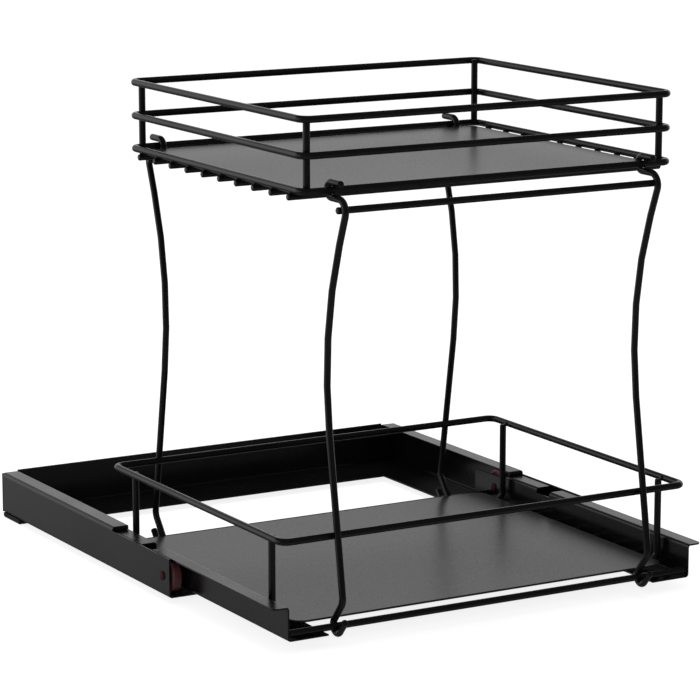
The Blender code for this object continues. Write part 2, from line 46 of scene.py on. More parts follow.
mm = 0.001
near = 0.01 * mm               # places closer than this are taken as one
far = 1.0                      # past the whole object, in metres
sides = {"left": -1, "right": 1}
ends = {"front": -1, "rear": 1}


# Materials

def hexToLinear(code):
    # an sRGB hex value as the linear colour that a shader takes
    parts = [int(code[i:i + 2], 16) / 255 for i in (1, 3, 5)]
    return (*[c / 12.92 if c <= 0.04045 else ((c + 0.055) / 1.055) ** 2.4 for c in parts], 1.0)


def addNode(tree, kind, inputs, **settings):
    # one node with its settings, each input given as a value or as the socket that feeds it
    node = tree.nodes.new(kind)
    for key, value in settings.items():
        setattr(node, key, value)
    for key, value in inputs.items():
        if isinstance(value, bpy.types.NodeSocket):
            tree.links.new(value, node.inputs[key])
        else:
            node.inputs[key].default_value = value
    return node


def newMaterial(name):
    # an empty material, its node tree and the object's own coordinates
    material = bpy.data.materials.new(name)
    material.use_nodes = True
    material.node_tree.nodes.clear()
    place = addNode(material.node_tree, "ShaderNodeTexCoord", {}).outputs["Object"]
    return material, material.node_tree, place


powderCoat = {
    "dark": "#09090b",
    "light": "#101012",
    "drift": 70 * mm,          # slow change of film thickness
    "orangePeel": 1.8 * mm,    # ripples left where the powder flows together
    "peelHeight": 0.010 * mm,
    "grain": 0.7 * mm,         # really about 0.1 mm, drawn coarser so that it shows
    "grainHeight": 0.004 * mm,
    "roughness": (0.20, 0.28),
    "noiseSpan": (0.35, 0.65),    # of the noise, over which the roughness changes
    "ior": 1.5,
}


def makePowderCoat(look):
    # Black polyester powder, sprayed dry on steel and baked until it flows. It gives a satin skin
    # with faint orange peel, and a finer grain that breaks up the highlights.
    material, tree, place = newMaterial("blackPolyesterPowderCoat")
    drift = addNode(tree, "ShaderNodeTexNoise", {"Vector": place, "Scale": 1 / look["drift"], "Detail": 2.0})
    peel = addNode(tree, "ShaderNodeTexNoise", {"Vector": place, "Scale": 1 / look["orangePeel"],
                                                "Detail": 1.0})
    grain = addNode(tree, "ShaderNodeTexNoise", {"Vector": place, "Scale": 1 / look["grain"], "Detail": 3.0})
    tint = addNode(tree, "ShaderNodeMix", {0: drift.outputs["Fac"], 6: hexToLinear(look["dark"]),
                                           7: hexToLinear(look["light"])}, data_type="RGBA")
    gloss = addNode(tree, "ShaderNodeMapRange", {"Value": drift.outputs["Fac"],
                                                 "From Min": look["noiseSpan"][0],
                                                 "From Max": look["noiseSpan"][1],
                                                 "To Min": look["roughness"][0],
                                                 "To Max": look["roughness"][1]})
    ripples = addNode(tree, "ShaderNodeBump", {"Height": peel.outputs["Fac"], "Distance": look["peelHeight"]})
    skin = addNode(tree, "ShaderNodeBump", {"Height": grain.outputs["Fac"], "Distance": look["grainHeight"],
                                            "Normal": ripples.outputs["Normal"]})
    shader = addNode(tree, "ShaderNodeBsdfPrincipled", {"Base Color": tint.outputs[2],
                                                        "Roughness": gloss.outputs["Result"],
                                                        "Normal": skin.outputs["Normal"],
                                                        "IOR": look["ior"]})
    addNode(tree, "ShaderNodeOutputMaterial", {"Surface": shader.outputs["BSDF"]})
    return material


linerSheet = {
    "dark": "#1f1f21",
    "light": "#29292b",
    "drift": 90 * mm,
    "waviness": 120 * mm,      # a thin sheet never lies quite flat
    "waveHeight": 0.12 * mm,
    "emboss": 0.9 * mm,        # the matt roller's pattern, drawn coarser than its 0.2 mm
    "embossHeight": 0.0025 * mm,
    "roughness": (0.27, 0.32),
    "noiseSpan": (0.35, 0.65),
    "ior": 1.49,
}


def makeLinerSheet(look):
    # Polypropylene sheet, extruded between a smooth and a matt roller. The matt side is up, so it
    # reflects softly, and long low waves bend the reflections of the legs.
    material, tree, place = newMaterial("extrudedPolypropyleneSheet")
    drift = addNode(tree, "ShaderNodeTexNoise", {"Vector": place, "Scale": 1 / look["drift"], "Detail": 4.0})
    waves = addNode(tree, "ShaderNodeTexNoise", {"Vector": place, "Scale": 1 / look["waviness"],
                                                 "Detail": 0.0})
    emboss = addNode(tree, "ShaderNodeTexNoise", {"Vector": place, "Scale": 1 / look["emboss"],
                                                  "Detail": 3.0})
    tint = addNode(tree, "ShaderNodeMix", {0: drift.outputs["Fac"], 6: hexToLinear(look["dark"]),
                                           7: hexToLinear(look["light"])}, data_type="RGBA")
    gloss = addNode(tree, "ShaderNodeMapRange", {"Value": emboss.outputs["Fac"],
                                                 "From Min": look["noiseSpan"][0],
                                                 "From Max": look["noiseSpan"][1],
                                                 "To Min": look["roughness"][0],
                                                 "To Max": look["roughness"][1]})
    bend = addNode(tree, "ShaderNodeBump", {"Height": waves.outputs["Fac"], "Distance": look["waveHeight"]})
    skin = addNode(tree, "ShaderNodeBump", {"Height": emboss.outputs["Fac"], "Distance": look["embossHeight"],
                                            "Normal": bend.outputs["Normal"]})
    shader = addNode(tree, "ShaderNodeBsdfPrincipled", {"Base Color": tint.outputs[2],
                                                        "Roughness": gloss.outputs["Result"],
                                                        "Normal": skin.outputs["Normal"],
                                                        "IOR": look["ior"]})
    addNode(tree, "ShaderNodeOutputMaterial", {"Surface": shader.outputs["BSDF"]})
    return material


rollerNylon = {
    "dark": "#4a2322",
    "light": "#5c3435",
    "drift": 6 * mm,
    "grain": 0.5 * mm,         # spark-eroded mould, drawn coarser than its 0.05 mm
    "grainHeight": 0.012 * mm,
    "roughness": (0.38, 0.50),
    "noiseSpan": (0.3, 0.7),
    "ior": 1.53,
}


def makeRollerNylon(look):
    # Red-brown nylon, injection moulded in a lightly eroded mould: a dull sheen and a cloudy colour
    # where the melt met.
    material, tree, place = newMaterial("mouldedNylon")
    drift = addNode(tree, "ShaderNodeTexNoise", {"Vector": place, "Scale": 1 / look["drift"], "Detail": 3.0,
                                                 "Distortion": 0.6})
    grain = addNode(tree, "ShaderNodeTexNoise", {"Vector": place, "Scale": 1 / look["grain"], "Detail": 2.0})
    tint = addNode(tree, "ShaderNodeMix", {0: drift.outputs["Fac"], 6: hexToLinear(look["dark"]),
                                           7: hexToLinear(look["light"])}, data_type="RGBA")
    gloss = addNode(tree, "ShaderNodeMapRange", {"Value": grain.outputs["Fac"],
                                                 "From Min": look["noiseSpan"][0],
                                                 "From Max": look["noiseSpan"][1],
                                                 "To Min": look["roughness"][0],
                                                 "To Max": look["roughness"][1]})
    skin = addNode(tree, "ShaderNodeBump", {"Height": grain.outputs["Fac"], "Distance": look["grainHeight"]})
    shader = addNode(tree, "ShaderNodeBsdfPrincipled", {"Base Color": tint.outputs[2],
                                                        "Roughness": gloss.outputs["Result"],
                                                        "Normal": skin.outputs["Normal"],
                                                        "IOR": look["ior"]})
    addNode(tree, "ShaderNodeOutputMaterial", {"Surface": shader.outputs["BSDF"]})
    return material


rivetCoat = {
    "dark": "#2e0909",
    "light": "#3a1010",
    "drift": 3 * mm,
    "hammer": 1.2 * mm,        # facets left by the riveting tool
    "hammerHeight": 0.040 * mm,
    "roughness": (0.68, 0.78),
    "noiseSpan": (0.3, 0.7),
    "ior": 1.5,
}


def makeRivetCoat(look):
    # Steel rivet dipped in red-brown lacquer, then headed: the film is thin, and the head keeps the
    # faint facets of the tool.
    material, tree, place = newMaterial("lacqueredRivetSteel")
    drift = addNode(tree, "ShaderNodeTexNoise", {"Vector": place, "Scale": 1 / look["drift"], "Detail": 2.0})
    facets = addNode(tree, "ShaderNodeTexVoronoi", {"Vector": place, "Scale": 1 / look["hammer"]})
    tint = addNode(tree, "ShaderNodeMix", {0: drift.outputs["Fac"], 6: hexToLinear(look["dark"]),
                                           7: hexToLinear(look["light"])}, data_type="RGBA")
    gloss = addNode(tree, "ShaderNodeMapRange", {"Value": drift.outputs["Fac"],
                                                 "From Min": look["noiseSpan"][0],
                                                 "From Max": look["noiseSpan"][1],
                                                 "To Min": look["roughness"][0],
                                                 "To Max": look["roughness"][1]})
    skin = addNode(tree, "ShaderNodeBump", {"Height": facets.outputs["Distance"],
                                            "Distance": look["hammerHeight"]})
    shader = addNode(tree, "ShaderNodeBsdfPrincipled", {"Base Color": tint.outputs[2],
                                                        "Roughness": gloss.outputs["Result"],
                                                        "Normal": skin.outputs["Normal"],
                                                        "IOR": look["ior"]})
    addNode(tree, "ShaderNodeOutputMaterial", {"Surface": shader.outputs["BSDF"]})
    return material


footRubber = {
    "dark": "#0e0e0e",
    "light": "#171717",
    "drift": 8 * mm,
    "grain": 0.8 * mm,         # moulded leather-like grain
    "grainHeight": 0.050 * mm,
    "roughness": (0.66, 0.82),
    "noiseSpan": (0.3, 0.7),
    "ior": 1.52,
}


def makeFootRubber(look):
    # Black synthetic rubber, compression moulded: matt, with a shallow grain and a grey bloom.
    material, tree, place = newMaterial("mouldedRubber")
    drift = addNode(tree, "ShaderNodeTexNoise", {"Vector": place, "Scale": 1 / look["drift"], "Detail": 3.0})
    grain = addNode(tree, "ShaderNodeTexVoronoi", {"Vector": place, "Scale": 1 / look["grain"]})
    tint = addNode(tree, "ShaderNodeMix", {0: drift.outputs["Fac"], 6: hexToLinear(look["dark"]),
                                           7: hexToLinear(look["light"])}, data_type="RGBA")
    gloss = addNode(tree, "ShaderNodeMapRange", {"Value": drift.outputs["Fac"],
                                                 "From Min": look["noiseSpan"][0],
                                                 "From Max": look["noiseSpan"][1],
                                                 "To Min": look["roughness"][0],
                                                 "To Max": look["roughness"][1]})
    skin = addNode(tree, "ShaderNodeBump", {"Height": grain.outputs["Distance"],
                                            "Distance": look["grainHeight"]})
    shader = addNode(tree, "ShaderNodeBsdfPrincipled", {"Base Color": tint.outputs[2],
                                                        "Roughness": gloss.outputs["Result"],
                                                        "Normal": skin.outputs["Normal"],
                                                        "IOR": look["ior"]})
    addNode(tree, "ShaderNodeOutputMaterial", {"Surface": shader.outputs["BSDF"]})
    return material


finishes = {
    "black_powder_coat": makePowderCoat(powderCoat),
    "grey_liner": makeLinerSheet(linerSheet),
    "roller_nylon": makeRollerNylon(rollerNylon),
    "rivet_coat": makeRivetCoat(rivetCoat),
    "foot_rubber": makeFootRubber(footRubber),
}
print("materials made")


# Shared steps

def camelName(node):
    # lower_cross_wire_3 becomes lowerCrossWire3
    first, *rest = node.split("_")
    return first + "".join(word.capitalize() for word in rest)


dressed = []
seam = 0.001 * mm              # corners closer than this are joined
sharpFrom = math.radians(40)


def finishPiece(bm, name, slot, body, nodes=()):
    # bmesh to object: closed up, faces outward, smooth with sharp edges, on its body
    bmesh.ops.remove_doubles(bm, verts=bm.verts, dist=seam)
    bmesh.ops.recalc_face_normals(bm, faces=bm.faces)
    mesh = bpy.data.meshes.new(name)
    bm.to_mesh(mesh)
    bm.free()
    mesh.shade_smooth()
    mesh.set_sharp_from_angle(angle=sharpFrom)
    mesh.materials.append(finishes[slot])
    piece = bpy.data.objects.new(name, mesh)
    bpy.context.scene.collection.objects.link(piece)
    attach(piece, body)
    if nodes:
        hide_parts(*nodes)
    dressed.append(piece)
    return piece


def pushEdges(bm, edges, step):
    # extrudes edges and moves the new ones by a step
    grown = bmesh.ops.extrude_edge_only(bm, edges=edges)["geom"]
    verts = [item for item in grown if isinstance(item, bmesh.types.BMVert)]
    bmesh.ops.translate(bm, verts=verts, vec=step)
    return [item for item in grown
            if isinstance(item, bmesh.types.BMEdge) and all(vert in verts for vert in item.verts)]


# Wires

wireMake = {
    "sides": 20,
    "bendStep": math.radians(8),
    "leastSteps": 3,           # in a slight bend
    "endRound": 0.45,          # share of the wire's radius that a cropped end is rounded by
    "endSegments": 3,
}


def startWire(at, heading, radius):
    # the wire is drawn as a ring of edges that is pushed and turned along its route
    bm = bmesh.new()
    facing = heading.to_track_quat("Z", "Y").to_matrix().to_4x4()
    made = bmesh.ops.create_circle(bm, segments=wireMake["sides"], radius=radius,
                                   matrix=Matrix.Translation(at) @ facing)
    # each edge once, in an order that is the same in every run, as that of a set is not
    ring = list(dict.fromkeys(edge for vert in made["verts"] for edge in vert.link_edges))
    return {"bm": bm, "ring": ring, "first": ring, "at": at.copy(), "heading": heading.normalized(),
            "radius": radius}


def pushWire(wire, length):
    # a straight run
    step = wire["heading"] * length
    wire["ring"] = pushEdges(wire["bm"], wire["ring"], step)
    wire["at"] = wire["at"] + step


def turnWire(wire, centre, axis, angle):
    # a bend round an axis
    steps = max(wireMake["leastSteps"], math.ceil(angle / wireMake["bendStep"]))
    verts = list(dict.fromkeys(vert for edge in wire["ring"] for vert in edge.verts))
    last = bmesh.ops.spin(wire["bm"], geom=wire["ring"] + verts, cent=centre, axis=axis, dvec=(0, 0, 0),
                          angle=angle, steps=steps, use_duplicate=False)["geom_last"]
    wire["ring"] = [item for item in last if isinstance(item, bmesh.types.BMEdge)]
    turn = Matrix.Rotation(angle, 3, axis)
    wire["at"] = centre + turn @ (wire["at"] - centre)
    wire["heading"] = turn @ wire["heading"]


def roundCorner(wire, corner, onward, bend):
    # straight on towards a corner, then round it towards the next point
    outward = (onward - corner).normalized()
    angle = wire["heading"].angle(outward)
    pushWire(wire, (corner - wire["at"]).length - bend * math.tan(angle / 2))
    axis = wire["heading"].cross(outward).normalized()
    turnWire(wire, wire["at"] + axis.cross(wire["heading"]) * bend, axis, angle)


def cropEnds(wire):
    # both ends closed and rounded, as a tumbled and coated wire end is
    bm = wire["bm"]
    for ring in (wire["first"], wire["ring"]):
        bmesh.ops.edgeloop_fill(bm, edges=ring)
        bmesh.ops.bevel(bm, geom=ring, affect="EDGES", offset=wireMake["endRound"] * wire["radius"],
                        segments=wireMake["endSegments"], profile=0.5, material=-1)


crossbarLift = 1.1 * mm        # the legs' crossbars sit a little higher in the crowns than the solids


def makeStraightWire(node, lift):
    low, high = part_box(node)
    size = high - low
    along = max(range(3), key=lambda i: size[i])
    heading = Vector([float(i == along) for i in range(3)])
    start = (low + high) / 2 - heading * size[along] / 2 + Vector((0, 0, lift))
    wire = startWire(start, heading, size[(along + 1) % 3] / 2)
    pushWire(wire, size[along])
    cropEnds(wire)
    finishPiece(wire["bm"], camelName(node), "black_powder_coat", "tray", [node])


def makeRim(node, bend):
    # a closed loop, welded where its ends meet in the middle of the rear
    low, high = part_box(node)
    radius = (high.z - low.z) / 2
    inset = Vector((radius, radius, radius))
    a, b = low + inset, high - inset
    corners = [Vector((x, y, a.z)) for x, y in ((b.x, b.y), (b.x, a.y), (a.x, a.y), (a.x, b.y))]
    joint = Vector(((a.x + b.x) / 2, b.y, a.z))
    wire = startWire(joint, Vector((1, 0, 0)), radius)
    for corner, onward in zip(corners, corners[1:] + [joint]):
        roundCorner(wire, corner, onward, bend)
    pushWire(wire, (joint - wire["at"]).length)
    finishPiece(wire["bm"], camelName(node), "black_powder_coat", "tray", [node])


def makePostWire(node, bend):
    # a U: down one post, across under the shelf and up the other post
    low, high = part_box(node)
    radius = (high.y - low.y) / 2
    y = (low.y + high.y) / 2
    left, right, run = low.x + radius, high.x - radius, low.z + radius
    wire = startWire(Vector((left, y, high.z)), Vector((0, 0, -1)), radius)
    roundCorner(wire, Vector((left, y, run)), Vector((right, y, run)), bend)
    roundCorner(wire, Vector((right, y, run)), Vector((right, y, high.z)), bend)
    pushWire(wire, high.z - wire["at"].z)
    cropEnds(wire)
    finishPiece(wire["bm"], camelName(node), "black_powder_coat", "tray", [node])


lowerBend, upperBend = 7 * mm, 7.5 * mm
rimBends = {"lower_rim": lowerBend, "upper_bottom_rim": upperBend, "upper_middle_rim": upperBend,
            "upper_top_rim": upperBend}
for node, bend in rimBends.items():
    makeRim(node, bend)

postBend = 8 * mm
for end in ends:
    makePostWire(f"lower_{end}_post_wire", postBend)

straightWires = ["front_bar", "rear_bar", "front_leg_crossbar", "rear_leg_crossbar"]
straightWires += sorted(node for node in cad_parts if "cross_wire" in node or "upper_post" in node)
for node in straightWires:
    makeStraightWire(node, crossbarLift if "crossbar" in node else 0)
print("rims, posts and straight wires made:", len(rimBends) + len(ends) + len(straightWires))


# Legs

def middleOf(node):
    low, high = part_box(node)
    return (low + high) / 2


trayY = middleOf("upper_top_rim").y
barZ = middleOf("front_bar").z
barReach = middleOf("rear_bar").y - trayY
barLow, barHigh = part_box("rear_bar")
barRadius = (barHigh.z - barLow.z) / 2
basketLow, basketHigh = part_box("upper_bottom_rim")
basketWire = (basketHigh.z - basketLow.z) / 2
basketZ = (basketLow.z + basketHigh.z) / 2
basketReach = basketHigh.y - basketWire - trayY

legShape = {
    "clearance": 0.3 * mm,     # under the rim and round the bar
    "hookSetIn": 1.7 * mm,     # how far the upper hook's middle lies inside the basket's rim
    "hookAbove": 0.1 * mm,     # air above the rim in the hook
    "hookTip": 11.6 * mm,      # how far the hook's tip stands out past the rim
    "crown": (20.6 * mm, 8.0 * mm),       # reach past the rim, and bend
    "waist": (112.4 * mm, 198.2 * mm, 256.0 * mm),   # reach, height over the bar, and bend
    "knee": (8.0 * mm, 18.1 * mm, 9.0 * mm),         # out past the bar, height over it, and bend
    "lowerTip": (math.radians(-40), 11.5 * mm),      # where the hook ends round the bar, and its straight tip
}


def makeLeg(node, end, shape):
    # from the tip over the basket's rim, round the upper hook and crown, down past the waist and
    # knee, and round the bar
    low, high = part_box(node)
    radius = (high.x - low.x) / 2
    x = (low.x + high.x) / 2

    def spot(reach, z):
        return Vector((x, trayY + end * reach, z))

    overZ = basketZ + basketWire + shape["hookAbove"] + radius
    underZ = basketZ - basketWire - shape["clearance"] - radius
    hookBend = (overZ - underZ) / 2
    hookReach = basketReach - shape["hookSetIn"] - hookBend
    crown = spot(basketReach + shape["crown"][0], underZ)
    waist = spot(shape["waist"][0], barZ + shape["waist"][1])
    knee = spot(barReach + shape["knee"][0], barZ + shape["knee"][1])

    # the lower hook winds round the bar's middle, and the shin meets it at a tangent
    bar = spot(barReach, barZ)
    wind = barRadius + radius + shape["clearance"]
    kneeOut, kneeUp = shape["knee"][0], shape["knee"][1]
    startAngle = math.atan2(kneeUp, kneeOut) + math.acos(wind / math.hypot(kneeUp, kneeOut))
    hookStart = bar + (spot(math.cos(startAngle), math.sin(startAngle)) - spot(0, 0)) * wind
    windAngle = 2 * math.pi + shape["lowerTip"][0] - startAngle

    tip = spot(basketReach + shape["hookTip"], overZ)
    wire = startWire(tip, Vector((0, -end, 0)), radius)
    roundCorner(wire, spot(hookReach, overZ), spot(hookReach, underZ), hookBend)
    roundCorner(wire, spot(hookReach, underZ), crown, hookBend)
    roundCorner(wire, crown, waist, shape["crown"][1])
    roundCorner(wire, waist, knee, shape["waist"][2])
    roundCorner(wire, knee, hookStart, shape["knee"][2])
    pushWire(wire, (hookStart - wire["at"]).length)
    turnWire(wire, bar, (wire["at"] - bar).cross(wire["heading"]).normalized(), windAngle)
    pushWire(wire, shape["lowerTip"][1])
    cropEnds(wire)
    finishPiece(wire["bm"], camelName(node), "black_powder_coat", "tray", [node])


for endName, end in ends.items():
    for sideName in sides:
        makeLeg(f"{endName}_{sideName}_leg", end, legShape)
print("legs made:", len(ends) * len(sides))


# Folded sheet

sheetMake = {
    "gauge": 1.2 * mm,
    "bend": 1.8 * mm,          # to the middle of the sheet
    "bendSegments": 5,
    "cutEdge": 0.18 * mm,      # a sheared and coated edge is never quite sharp
    "cutSegments": 2,
    "cutFrom": math.radians(60),       # edges sharper than this are cut edges
}


def foldedStrip(section, stations):
    # the section (x, z) as a chain of edges, pushed along Y from each station to the next
    bm = bmesh.new()
    chain = [bm.verts.new((x, stations[0], z)) for x, z in section]
    edges = [bm.edges.new(pair) for pair in zip(chain, chain[1:])]
    for here, there in zip(stations, stations[1:]):
        edges = pushEdges(bm, edges, Vector((0, there - here, 0)))
    return bm


def cutAway(bm, low, high):
    # deletes the faces whose middles lie in a box
    inside = [f for f in bm.faces if all(a < c < b for a, c, b in zip(low, f.calc_center_median(), high))]
    bmesh.ops.delete(bm, geom=inside, context="FACES")


def edgesOn(bm, low, high):
    # the edges that lie in a box with both ends
    def lies(place):
        return all(a - near <= c <= b + near for a, c, b in zip(low, place, high))

    return [e for e in bm.edges if all(lies(v.co) for v in e.verts)]


def roundFolds(bm, edges, bend):
    bmesh.ops.bevel(bm, geom=edges, affect="EDGES", offset=bend, segments=sheetMake["bendSegments"],
                    profile=0.5, material=-1)


def finishSheet(bm, name, body, nodes):
    # the open sheet gets its gauge, and its cut edges a slight round
    sheet = finishPiece(bm, name, "black_powder_coat", body, nodes)
    gauge = sheet.modifiers.new("gauge", "SOLIDIFY")
    gauge.thickness = sheetMake["gauge"]
    gauge.offset = 0
    gauge.use_even_offset = True
    cut = sheet.modifiers.new("cutEdge", "BEVEL")
    cut.width = sheetMake["cutEdge"]
    cut.segments = sheetMake["cutSegments"]
    cut.limit_method = "ANGLE"
    cut.angle_limit = sheetMake["cutFrom"]


channelShape = {
    "topFlange": 13.0 * mm,
    "stopSetback": 91.5 * mm,  # where the top flange starts, behind the channel's front
    "openDrop": 2.9 * mm,      # how much lower the web is in front of it
    "lipDrop": 3.1 * mm,       # how far the bent-down lip reaches below the flange's top
    "lipBend": 0.9 * mm,
    "relief": 2.2 * mm,        # the slit beside the lip, in from the web
}


def makeChannel(node, side, shape):
    low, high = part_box(node)
    half = sheetMake["gauge"] / 2
    outer = max(abs(low.x), abs(high.x)) - half
    inner = min(abs(low.x), abs(high.x))
    floor, roof = low.z + half, high.z - half
    stop = low.y + shape["stopSetback"] + half
    shoulder = high.z - shape["openDrop"]
    flangeEdge = outer + half - shape["topFlange"]
    slit = outer - shape["relief"]

    section = [(inner, floor), (outer, floor), (outer, shoulder), (outer, roof), (slit, roof),
               (flangeEdge, roof)]
    bm = foldedStrip(section, [low.y, stop, high.y])
    cutAway(bm, (-far, -far, shoulder), (far, stop, far))
    lipTop = ((flangeEdge, stop, roof), (slit, stop, roof))
    pushEdges(bm, edgesOn(bm, *lipTop), Vector((0, 0, -(shape["lipDrop"] - half))))
    roundFolds(bm, edgesOn(bm, *lipTop), shape["lipBend"])
    folds = [edge for z in (floor, roof) for edge in edgesOn(bm, (outer, -far, z), (outer, far, z))]
    roundFolds(bm, folds, sheetMake["bend"])
    bmesh.ops.scale(bm, verts=bm.verts, vec=(side, 1, 1))
    finishSheet(bm, camelName(node), "base", [node])


railShape = {
    "height": 24.4 * mm,
    "topFlange": 11.0 * mm,
    "corner": 4.0 * mm,        # the flange's round front corner
    "cornerSegments": 6,
    "notch": (181.3 * mm, 198.8 * mm),   # from and to, behind the rail's front
    "notchDepth": 4.0 * mm,
    "dropDepth": 3.0 * mm,     # the web is lower behind the stop tab
    "tabSetback": 242.7 * mm,
    "tabBend": 0.9 * mm,
}


def makeRail(node, side, shape):
    low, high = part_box(node)
    half = sheetMake["gauge"] / 2
    tip = max(abs(low.x), abs(high.x))
    web = tip - shape["topFlange"] - half
    inner = min(abs(low.x), abs(high.x))
    floor, roof = low.z + half, low.z + shape["height"] - half
    notchZ, dropZ = roof + half - shape["notchDepth"], roof + half - shape["dropDepth"]
    notch = [low.y + place for place in shape["notch"]]
    tab = low.y + shape["tabSetback"]
    slit = web + sheetMake["bend"] + half / 2

    section = [(inner, floor), (web, floor), (web, notchZ), (web, dropZ), (web, roof), (slit, roof),
               (tip, roof)]
    bm = foldedStrip(section, [low.y, *notch, tab, high.y])
    cutAway(bm, (-far, notch[0], notchZ), (far, notch[1], far))
    cutAway(bm, (-far, tab, dropZ), (far, far, far))
    tabFoot = ((slit, tab, roof), (tip, tab, roof))
    pushEdges(bm, edgesOn(bm, *tabFoot), Vector((0, 0, high.z - roof)))
    roundFolds(bm, edgesOn(bm, *tabFoot), shape["tabBend"])
    folds = [edge for z in (floor, roof) for edge in edgesOn(bm, (web, -far, z), (web, far, z))]
    roundFolds(bm, folds, sheetMake["bend"])
    corner = [v for v in bm.verts if (v.co - Vector((tip, low.y, roof))).length < near]
    bmesh.ops.bevel(bm, geom=corner, affect="VERTICES", offset=shape["corner"],
                    segments=shape["cornerSegments"], profile=0.5, material=-1)
    bmesh.ops.scale(bm, verts=bm.verts, vec=(side, 1, 1))
    finishSheet(bm, camelName(node), "tray", [node])


panelShape = {
    "foldGap": 0.3 * mm,       # between the fold's ends and the channels' bottom flanges
    "shoulderDrop": 0.6 * mm,  # below the channels' flanges, beside the fold's ends
    "shoulderIn": 0.3 * mm,
    "slit": (0.3 * mm, 2.5 * mm),      # width and height of the relief at each end of the fold
}


def makeRearPanel(node, shape):
    # an L: the wall, and the wide flange that lies between the channels' flanges
    low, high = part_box(node)
    channelLow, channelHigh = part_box("right_channel")
    half = sheetMake["gauge"] / 2
    foldEnd = channelLow.x - shape["foldGap"]
    slitEnd = foldEnd + shape["slit"][0]
    shoulder = channelHigh.x - channelShape["topFlange"] - shape["shoulderIn"]
    wall, floor = high.y - half, low.z + half
    slitTop, shoulderTop = low.z + shape["slit"][1], channelHigh.z - shape["shoulderDrop"]

    bm = foldedStrip([(wall, floor), (wall, slitTop), (wall, shoulderTop), (wall, high.z)],
                     [low.x, -shoulder, -slitEnd, -foldEnd, foldEnd, slitEnd, shoulder, high.x])
    # the strip is drawn along Y, so its X and Y change places
    swapped = Matrix(((0, 1, 0, 0), (1, 0, 0, 0), (0, 0, 1, 0), (0, 0, 0, 1)))
    bmesh.ops.transform(bm, matrix=swapped, verts=bm.verts)
    for side in sides.values():
        span = sorted((side * foldEnd, side * slitEnd))
        cutAway(bm, (span[0], -far, -far), (span[1], far, slitTop))
        span = sorted((side * shoulder, side * far))
        cutAway(bm, (span[0], -far, shoulderTop), (span[1], far, far))
    wallFoot = ((-foldEnd, wall, floor), (foldEnd, wall, floor))
    pushEdges(bm, edgesOn(bm, *wallFoot), Vector((0, low.y - wall, 0)))
    roundFolds(bm, edgesOn(bm, *wallFoot), sheetMake["bend"])
    finishSheet(bm, camelName(node), "base", [node])


for sideName, side in sides.items():
    makeChannel(f"{sideName}_channel", side, channelShape)
    makeRail(f"{sideName}_rail", side, railShape)
makeRearPanel("rear_panel", panelShape)
print("folded sheet made: 5")


# Liners

linerMake = {"edge": 0.3 * mm, "edgeSegments": 2, "cornerSegments": 8}
# reach is how much further the sheet goes than its solid, to the sides and to the ends
linerShapes = {
    "lower_liner": {"corner": 10 * mm, "reach": (0, 0)},
    "upper_liner": {"corner": 5 * mm, "reach": (5.2 * mm, 5.3 * mm)},
}


def makeLiner(node, shape):
    low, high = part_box(node)
    reach = Vector((*shape["reach"], 0))
    low, high = low - reach, high + reach
    bm = bmesh.new()
    outline = ((low.x, low.y), (high.x, low.y), (high.x, high.y), (low.x, high.y))
    corners = [bm.verts.new((x, y, low.z)) for x, y in outline]
    bm.faces.new(corners)
    bmesh.ops.bevel(bm, geom=corners, affect="VERTICES", offset=shape["corner"],
                    segments=linerMake["cornerSegments"], profile=0.5, material=-1)
    grown = bmesh.ops.extrude_face_region(bm, geom=list(bm.faces))["geom"]
    top = [item for item in grown if isinstance(item, bmesh.types.BMVert)]
    bmesh.ops.translate(bm, verts=top, vec=(0, 0, high.z - low.z))
    level = [e for e in bm.edges if abs(e.verts[0].co.z - e.verts[1].co.z) < near]
    bmesh.ops.bevel(bm, geom=level, affect="EDGES", offset=linerMake["edge"],
                    segments=linerMake["edgeSegments"], profile=0.5, material=-1)
    finishPiece(bm, camelName(node), "grey_liner", "tray", [node])


for node, shape in linerShapes.items():
    makeLiner(node, shape)
print("liners made:", len(linerShapes))


# Rollers, rivets and feet

rollerShape = {
    "bore": 2.6 * mm,
    "edge": 2.0 * mm,          # round between tread and face
    "edgeSteps": 4,
    "hub": 5.2 * mm,
    "tyre": 3.0 * mm,          # thickness of the ring under the tread
    "recess": 1.0 * mm,        # how deep the face lies between hub and ring
    "steps": 64,
}


def turnPiece(profile, closed, centre, steps):
    # a profile (along X, radius) turned a full circle about the X axis through the centre
    bm = bmesh.new()
    chain = [bm.verts.new(centre + Vector((along, 0, radius))) for along, radius in profile]
    edges = [bm.edges.new(pair) for pair in zip(chain, chain[1:])]
    if closed:
        edges.append(bm.edges.new((chain[-1], chain[0])))
    bmesh.ops.spin(bm, geom=chain + edges, cent=centre, axis=(1, 0, 0), dvec=(0, 0, 0), angle=2 * math.pi,
                   steps=steps, use_merge=True, use_duplicate=False)
    return bm


def quarterRound(along, radius, bend, steps):
    # the round at a turned piece's rim, from tread to face
    points = []
    for i in range(steps + 1):
        angle = math.pi / 2 * (i / steps)
        points.append((along + bend * math.sin(angle), radius + bend * math.cos(angle)))
    return points


def makeRoller(node, shape):
    low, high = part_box(node)
    centre = (low + high) / 2
    half, radius = (high.x - low.x) / 2, (high.z - low.z) / 2
    face = half - shape["recess"]
    ring = radius - shape["tyre"]
    rim = radius - shape["edge"]
    slope = shape["recess"] / 2
    hubAndRing = [(half, shape["bore"]), (half, shape["hub"] - slope), (face, shape["hub"]),
                  (face, ring - slope), (half, ring)]
    shoulder = quarterRound(half - shape["edge"], rim, shape["edge"], shape["edgeSteps"])
    rightHalf = hubAndRing + shoulder[::-1]
    profile = rightHalf + [(-along, r) for along, r in reversed(rightHalf)]
    bm = turnPiece(profile, True, centre, shape["steps"])
    finishPiece(bm, camelName(node), "roller_nylon", node, [node])


